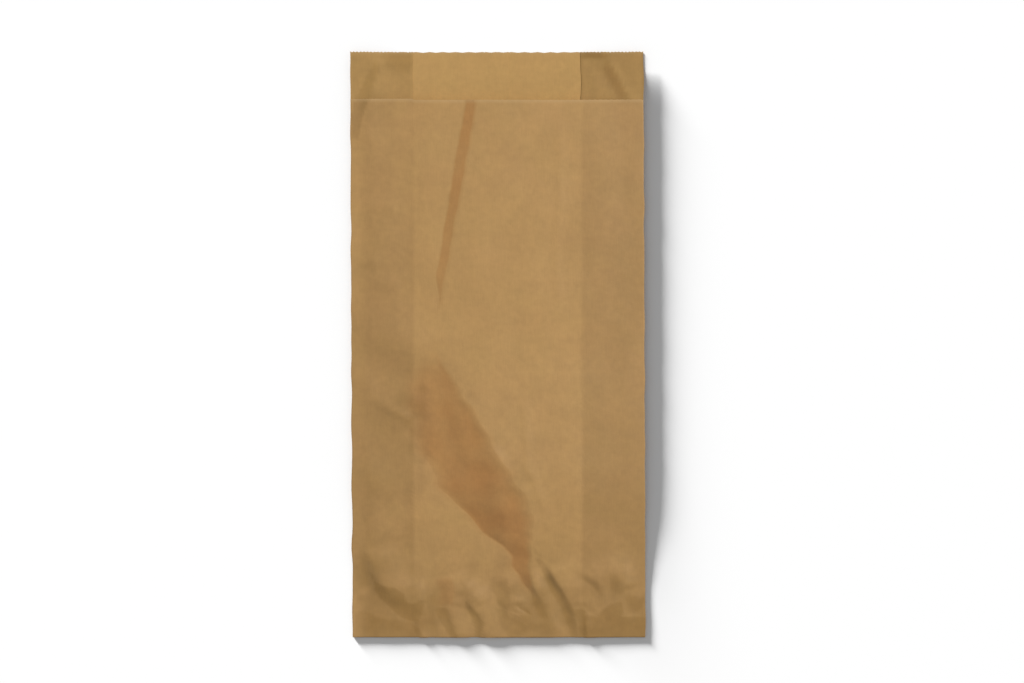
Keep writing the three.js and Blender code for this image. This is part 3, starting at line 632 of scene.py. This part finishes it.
def foldWeb(shape, points, width, height):
    # Carries each point (u across the web, v along it) to its place on the folded bag
    u, v = points[:, 0].copy(), points[:, 1]
    paper, turnCentre, turnHalf = shape["paper"], shape["turnCentre"], shape["turnHalf"]
    pitch = paper + shape["plyGap"]
    halfPaper = paper / 2
    turnY = turnCentre - height / 2
    turned = np.clip((turnHalf - v) / (2 * turnHalf), 0, 1) * math.pi
    y = turnY + np.maximum(v - turnHalf, 0)
    beyond = np.maximum(-v - turnHalf, 0)
    stackEnd = turnY + shape["turnUp"]
    flapEnd = stackEnd + shape["lipHeight"]
    frontEdge = shape["frontEdge"]

    # The back lies on the turned-up plies, then on the flap, and then on the floor. Above it,
    # the gussets' inner folds and the front's edges rise as the bag opens.
    opened = smoothStep(stackEnd, stackEnd + shape["openingRun"], y)
    onStack = turnCentre + pitch / 2
    onFlap = halfPaper + pitch
    back = (halfPaper + pitch - comesIn((pitch, *shape["flapFall"]), y - flapEnd)
            + (onStack - onFlap) - comesIn((onStack - onFlap, *shape["stackFall"]), y - stackEnd))
    radius = pitch / 2 + (shape["springRadius"] - pitch / 2) * opened
    edge = width / 2 - halfPaper - radius
    gussetX = width / 2 - shape["gussetDepth"] + halfPaper + radius
    gusset = back + radius + pitch + (shape["gussetRise"] - pitch) * opened
    front = back + 3 * radius + pitch + (shape["edgeGap"] - pitch) * opened

    half = width / 2
    inner, outer = half + shape["gussetDepth"], half + 2 * shape["gussetDepth"]
    foldHalf = math.pi * shape["springRadius"] / 2
    onFront = abs(u) < half - foldHalf
    u = np.where(onFront, slideToCrease(u, y, width), u)
    knifeStep = np.interp(-u, *np.array(shape["knifeStep"]).T)
    y = y + onFront * knifeStep * smoothStep(frontEdge - shape["knifeRun"], frontEdge, y)
    side = np.where(u < 0, 1.0, -1.0)  # the web's first half is on the bag's right
    a = abs(u)
    x, z = np.zeros_like(u), np.zeros_like(u)

    xFront = edge * a / (half - foldHalf) * side
    mouthCrown = shape["mouthCrown"]
    crownShare = mouthCrown + comesIn((1 - mouthCrown, frontEdge, -50), y)
    crown = shape["crownRise"] * opened * crownShare * (1 - (xFront / edge) ** 2)
    zFront = front + radius + crown + frontRelief(xFront, y, edge, opened)
    # No crease of the front goes down into the gussets or the back
    t = np.clip((edge - abs(xFront)) / (edge - gussetX), 0, 1)
    overGusset = smoothStep(gussetX - shape["gussetEase"], gussetX - radius, abs(xFront))
    upper = front - radius + (gusset + 2 * radius - front) * smoothStep(0, 1, t)
    under = back + pitch + (upper - back - pitch) * overGusset
    zFront = np.maximum(zFront, under + paper + shape["clearance"])
    x, z = np.where(onFront, xFront, x), np.where(onFront, zFront, z)

    def placeFold(place, centreX, centreZ, bulge):
        nonlocal x, z
        here = abs(a - place) <= foldHalf
        turn = (place - a) / foldHalf * (math.pi / 2)
        x = np.where(here, side * (centreX + bulge * radius * np.cos(turn)), x)
        z = np.where(here, centreZ + radius * np.sin(turn), z)

    def placePly(start, end, fromX, fromZ, toX, toZ):
        nonlocal x, z
        t = (a - start - foldHalf) / (end - start - 2 * foldHalf)
        here = (t > 0) & (t < 1)
        x = np.where(here, side * (fromX + (toX - fromX) * t), x)
        z = np.where(here, fromZ + (toZ - fromZ) * smoothStep(0, 1, t), z)

    placeFold(half, edge, front, 1)
    placePly(half, inner, edge, front - radius, gussetX, gusset + radius)
    placeFold(inner, gussetX, gusset, -1)
    placePly(inner, outer, gussetX, gusset - radius, edge, back + 2 * radius)
    upperPly = (a > half) & (a < inner)
    inMouth = smoothStep(*shape["mouthRun"], y - frontEdge)
    offFold = np.clip((edge - abs(x)) / 2 + 0.3, 0, 1)
    z = z + upperPly * inMouth * creaseRelief(shape["mouthCreases"], x, y)[0] * offFold
    placeFold(outer, edge, back + radius, 1)
    onBack = a > outer + foldHalf
    lapHalf = shape["lapWidth"] / 2
    xBack = side * (edge - (a - outer - foldHalf) * (edge + lapHalf) / (half + lapHalf - foldHalf))
    overLap = (side < 0) * (1 - smoothStep(lapHalf, lapHalf + shape["lapStep"], -xBack))
    x = np.where(onBack, xBack, x)
    z = np.where(onBack, back + (paper + shape["clearance"]) * overLap, z)

    # What is turned under lies flat, whatever creases stand above it
    limit = np.interp(turned / math.pi, *np.array(shape["underLimits"]).T)
    reach = np.minimum(z, 2 * turnCentre - halfPaper + limit) - turnCentre
    x = x - shape["lean"] * y + shape["edgeWave"] * slowWaves(0.4 * x, y * 1.3, 11)
    placed = np.stack([x, y + beyond - reach * np.sin(turned),
                       turnCentre + reach * np.cos(turned)], axis=1)
    return placed, u


def writeOnPaper(mesh, flat, folded, slidU, shape, half, frontTop):
    # What the paper's materials read: the flat blank as a map in metres, so that fibres run with
    # the web, the plies behind each place with painted shade and light, its painted warm shade of the
    # creases, and how near it is to a cut edge
    while mesh.uv_layers:
        mesh.uv_layers.remove(mesh.uv_layers[0])
    layer = mesh.uv_layers.new(name="flatWeb")
    corners = np.empty(len(mesh.loops), dtype=int)
    mesh.loops.foreach_get("vertex_index", corners)
    flatPlace = np.stack([slidU, flat[:, 1]], axis=1) * mm
    layer.data.foreach_set("uv", flatPlace[corners].ravel())

    x, y = folded[:, 0], folded[:, 1]
    turnedUnder = flat[:, 1] < -shape["turnHalf"]
    plyShadeValues = np.where(turnedUnder, shape["tones"]["turnedUnder"], pliesAndShadeUnder(x, y, slidU, half, shape))
    # Painted warm shade of the creases, on the front and in the mouth
    warm = np.where(abs(slidU) < half - 1, warmShadeStrip(x, y), creaseRelief(shape["mouthCreases"], x, y)[1])
    warm = np.where(turnedUnder, 0.0, warm)
    cutHeight = np.where(abs(slidU) < half, frontTop, frontTop + shape["lipHeight"])
    # A pale band along the cut edges: partly the edge's own colour, partly a painted highlight
    cut = 0.5 * bell(abs(flat[:, 1] - cutHeight), 1.0)
    for name, values in (("pliesAndPaintedShade", plyShadeValues), ("paintedWarmShade", warm), ("paleCutEdgeAndHighlight", cut)):
        attribute = mesh.attributes.new(name, "FLOAT", "POINT")
        attribute.data.foreach_set("value", values.astype(np.float32))


def makePaperBag():
    low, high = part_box("paper_bag")
    width, height = bag["width"], (high.y - low.y) / mm
    shape = dict(bag)
    # The bottom turns round the middle of four plies, which lie on the floor
    shape["turnCentre"] = bag["paper"] / 2 + 3.5 * (bag["paper"] + bag["plyGap"])
    shape["frontEdge"] = height / 2 - bag["lipHeight"]
    piece, frontTop = flatWeb(shape, width, height)
    cutTeeth(shape, piece.data, width, frontTop)
    print("blank cut:", len(piece.data.vertices), "points")
    flat = meshPoints(piece.data)
    folded, slidU = foldWeb(shape, flat, width, height)
    writeOnPaper(piece.data, flat, folded, slidU, shape, width / 2, frontTop)
    setMeshPoints(piece.data, folded * mm)

    thickness = piece.modifiers.new("paperThickness", "SOLIDIFY")
    thickness.thickness = bag["paper"] * mm
    thickness.offset = 0
    thickness.use_even_offset = True
    thickness.material_offset = 1
    thickness.material_offset_rim = 2
    for name in ("dullKraftPaper", "glazedKraftPaper", "cutKraftEdge"):  # the blank's upper face first
        piece.data.materials.append(paperMaterial(name))
    deselectAll()
    piece.select_set(True)
    bpy.context.view_layer.objects.active = piece
    bpy.ops.object.modifier_apply(modifier="paperThickness")
    bpy.ops.object.shade_smooth_by_angle(angle=math.radians(50))
    piece.name = "paperBag"
    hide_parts("paper_bag")
    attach(piece, "root")
    print("paper bag:", len(piece.data.polygons), "faces")


# Kraft paper, unbleached and glazed on one side against a hot cylinder: brown, faintly mottled,
# with fine streaks along the web. The glazed side has a low soft gloss, the other is dull, and the
# cut edge is pale and rough.

kraft = {
    "glazedKraftPaper": {"color": "#B99056", "roughness": 0.55, "sheen": 0.0},
    "dullKraftPaper": {"color": "#C09759", "roughness": 0.8, "sheen": 0.05},
    "cutKraftEdge": {"color": "#C2A06E", "roughness": 0.9, "sheen": 0.0},
    # What the plies behind a face do to its colour, from one ply to eight; the same tints carry the painted
    # shade and light
    "plyShadeTints": [(1, (1.0, 1.0, 1.0)), (2, (0.926, 0.926, 0.926)), (4, (0.806, 0.796, 0.787)),
                 (5.5, (0.713, 0.701, 0.644)), (8, (0.611, 0.583, 0.449))],
    "warmShadeTint": (0.98, 0.79, 0.65, 1),  # painted warm shade of the creases
    # Patterns on the web or on the folded bag: size in mm, detail, roughness and shift. Real fibres
    # are too fine to show, so the streaks are drawn as bundles of them.
    "patterns": {
        "streaks": ("web", (0.5, 8, 8), 3.0, 0.6, (0, 0, 0)),
        "mottle": ("web", (14, 14, 14), 4.0, 0.55, (0, 0, 0)),
        "flocks": ("web", (3.2, 3.2, 3.2), 2.0, 0.5, (0, 0, 0)),
        "hue": ("web", (22, 22, 22), 3.0, 0.6, (3.7, 1.9, 0)),
        "cockle": ("bag", (7, 7, 7), 3.0, 0.5, (0, 0, 0)),  # ripples left by drying
    },
    "mottleShades": (0.95, 1.04),
    "flockShades": (0.965, 1.035),
    "streakShades": (0.97, 1.03),
    # Pulp of two cooks: slow patches a little greener or pinker than the rest
    "hues": [(0.35, (0.992, 1.0, 0.992, 1)), (0.65, (1.0, 0.988, 1.0, 1))],
    "fibreBump": (0.25, 0.02),  # strength, and height in mm
    "cockleBump": (0.6, 0.22),
}


def paperMaterial(name):
    finish = kraft[name]
    material = bpy.data.materials.new(name)
    material.use_nodes = True
    tree = material.node_tree
    tree.nodes.clear()
    multiply = {"data_type": "RGBA", "blend_type": "MULTIPLY"}
    output = addNode(tree, "ShaderNodeOutputMaterial")
    places = {"web": addNode(tree, "ShaderNodeUVMap", {"uv_map": "flatWeb"}).outputs["UV"],
              "bag": addNode(tree, "ShaderNodeTexCoord").outputs["Object"]}
    noise = {}
    for pattern, (on, size, detail, roughness, shift) in kraft["patterns"].items():
        place = addNode(tree, "ShaderNodeMapping",
                        inputs={"Scale": [1 / (length * mm) for length in size], "Location": shift},
                        links={"Vector": places[on]})
        noise[pattern] = addNode(tree, "ShaderNodeTexNoise",
                                 inputs={"Scale": 1.0, "Detail": detail, "Roughness": roughness},
                                 links={"Vector": place.outputs["Vector"]}).outputs["Fac"]

    base = linearColor(finish["color"])[:3]
    darker, lighter = [[c * shade for c in base] + [1] for shade in kraft["mottleShades"]]
    mottled = addNode(tree, "ShaderNodeValToRGB", links={"Fac": noise["mottle"]},
                      stops=[(0.3, darker), (0.7, lighter)])
    shades = []
    for pattern, (least, most) in (("streaks", kraft["streakShades"]), ("flocks", kraft["flockShades"])):
        shade = addNode(tree, "ShaderNodeMapRange",
                        inputs={"From Min": 0.3, "From Max": 0.7, "To Min": least, "To Max": most},
                        links={"Value": noise[pattern]})
        shades.append(shade.outputs["Result"])
    fibreShade = addNode(tree, "ShaderNodeMath", {"operation": "MULTIPLY"}, links=dict(enumerate(shades)))
    hue = addNode(tree, "ShaderNodeValToRGB", links={"Fac": noise["hue"]}, stops=kraft["hues"])
    # Plies behind each place, with the painted shade and light added as plies
    plyShade = addNode(tree, "ShaderNodeAttribute", {"attribute_name": "pliesAndPaintedShade"})
    fewest, most = kraft["plyShadeTints"][0][0], kraft["plyShadeTints"][-1][0]
    plyShare = addNode(tree, "ShaderNodeMapRange", inputs={"From Min": fewest, "From Max": most},
                       links={"Value": plyShade.outputs["Fac"]})
    depth = addNode(tree, "ShaderNodeValToRGB", links={"Fac": plyShare.outputs["Result"]},
                    stops=[((count - fewest) / (most - fewest), (*tint, 1))
                           for count, tint in kraft["plyShadeTints"]])
    color = mottled.outputs["Color"]
    for shade in (fibreShade.outputs["Value"], hue.outputs["Color"], depth.outputs["Color"]):
        color = addNode(tree, "ShaderNodeMix", multiply, {"Factor": 1.0},
                        {"A": color, "B": shade}).outputs["Result"]
    # Painted warm shade of the creases
    warmShadeNode = addNode(tree, "ShaderNodeAttribute", {"attribute_name": "paintedWarmShade"})
    warmShaded = addNode(tree, "ShaderNodeMix", multiply, {"B": kraft["warmShadeTint"]},
                     {"Factor": warmShadeNode.outputs["Fac"], "A": color})
    # Pale band at the cut edges: partly its own colour, partly a painted highlight
    cut = addNode(tree, "ShaderNodeAttribute", {"attribute_name": "paleCutEdgeAndHighlight"})
    edged = addNode(tree, "ShaderNodeMix", {"data_type": "RGBA", "blend_type": "MIX"},
                    {"B": linearColor(kraft["cutKraftEdge"]["color"])},
                    {"Factor": cut.outputs["Fac"], "A": warmShaded.outputs["Result"]})

    strength, rise = kraft["fibreBump"]
    fine = addNode(tree, "ShaderNodeBump", inputs={"Strength": strength, "Distance": rise * mm},
                   links={"Height": noise["streaks"]})
    strength, rise = kraft["cockleBump"]
    rough = addNode(tree, "ShaderNodeBump", inputs={"Strength": strength, "Distance": rise * mm},
                    links={"Height": noise["cockle"], "Normal": fine.outputs["Normal"]})
    shader = addNode(tree, "ShaderNodeBsdfPrincipled",
                     inputs={"Roughness": finish["roughness"], "IOR": 1.5, "Sheen Weight": finish["sheen"]},
                     links={"Base Color": edged.outputs["Result"], "Normal": rough.outputs["Normal"]})
    tree.links.new(shader.outputs["BSDF"], output.inputs["Surface"])
    return material


# Floor, light and camera

studio = {
    "floor": "#E0E0E0",
    "floorRoughness": 0.9,
    "floorSize": 4.0,  # m
    "floorDrop": 0.0001,  # m under the bag
    # from is a lamp's direction on the table, in the picture's right and up
    "keyLamp": {"from": (1.0, 1.0), "elevation": 38, "softness": 14, "strength": 2.75},
    "floorLamp": {"from": (-0.8, 1.0), "elevation": 8, "softness": 11, "strength": 20.5},
    "worldStrength": 0.42,
}


def makeFloor():
    deselectAll()
    bpy.ops.mesh.primitive_plane_add(size=studio["floorSize"], location=(0, 0, -studio["floorDrop"]))
    bpy.ops.object.transform_apply(location=True, rotation=True, scale=True)
    floor = bpy.context.object
    floor.name = "floor"
    material = bpy.data.materials.new("whiteTable")
    material.use_nodes = True
    shader = material.node_tree.nodes["Principled BSDF"]
    shader.inputs["Base Color"].default_value = linearColor(studio["floor"])
    shader.inputs["Roughness"].default_value = studio["floorRoughness"]
    floor.data.materials.append(material)
    return floor


def addLamp(name, floor, linkState):
    # A far, soft lamp that lights the floor alone (INCLUDE), or all but the floor (EXCLUDE)
    lamp = studio[name]
    data = bpy.data.lights.new(name, "SUN")
    data.angle = math.radians(lamp["softness"])
    data.energy = lamp["strength"]
    piece = bpy.data.objects.new(name, data)
    bpy.context.scene.collection.objects.link(piece)
    right, up = lamp["from"]
    rise = math.hypot(right, up) * math.tan(math.radians(lamp["elevation"]))
    piece.location = (right, up, rise)
    piece.rotation_euler = (-piece.location).to_track_quat("-Z", "Y").to_euler()
    receivers = bpy.data.collections.new(name + "Receivers")
    receivers.objects.link(floor)
    receivers.collection_objects[0].light_linking.link_state = linkState
    piece.light_linking.receiver_collection = receivers


def makeLight(floor):
    addLamp("keyLamp", floor, "EXCLUDE")
    addLamp("floorLamp", floor, "INCLUDE")
    world = bpy.data.worlds.new("studio")
    world.use_nodes = True
    background = world.node_tree.nodes["Background"]
    background.inputs["Color"].default_value = (1, 1, 1, 1)
    background.inputs["Strength"].default_value = studio["worldStrength"]
    bpy.context.scene.world = world
    bpy.context.scene.view_settings.view_transform = "Standard"


view = {
    "lens": 100,  # mm
    "sensor": 36,  # mm
    "span": 0.5235,  # m of floor across the picture
    "centre": (0.0072, 0.0016),  # m
    "sharpHeight": 0.004,  # m above the floor, where the span is measured
}


def makeCamera():
    data = bpy.data.cameras.new("camera")
    data.lens = view["lens"]
    data.sensor_width = view["sensor"]
    camera = bpy.data.objects.new("camera", data)
    bpy.context.scene.collection.objects.link(camera)
    distance = view["span"] * view["lens"] / view["sensor"]
    camera.location = (*view["centre"], distance + view["sharpHeight"])
    bpy.context.scene.camera = camera


makeCamera()
makeLight(makeFloor())
print("stage done")
makePaperBag()
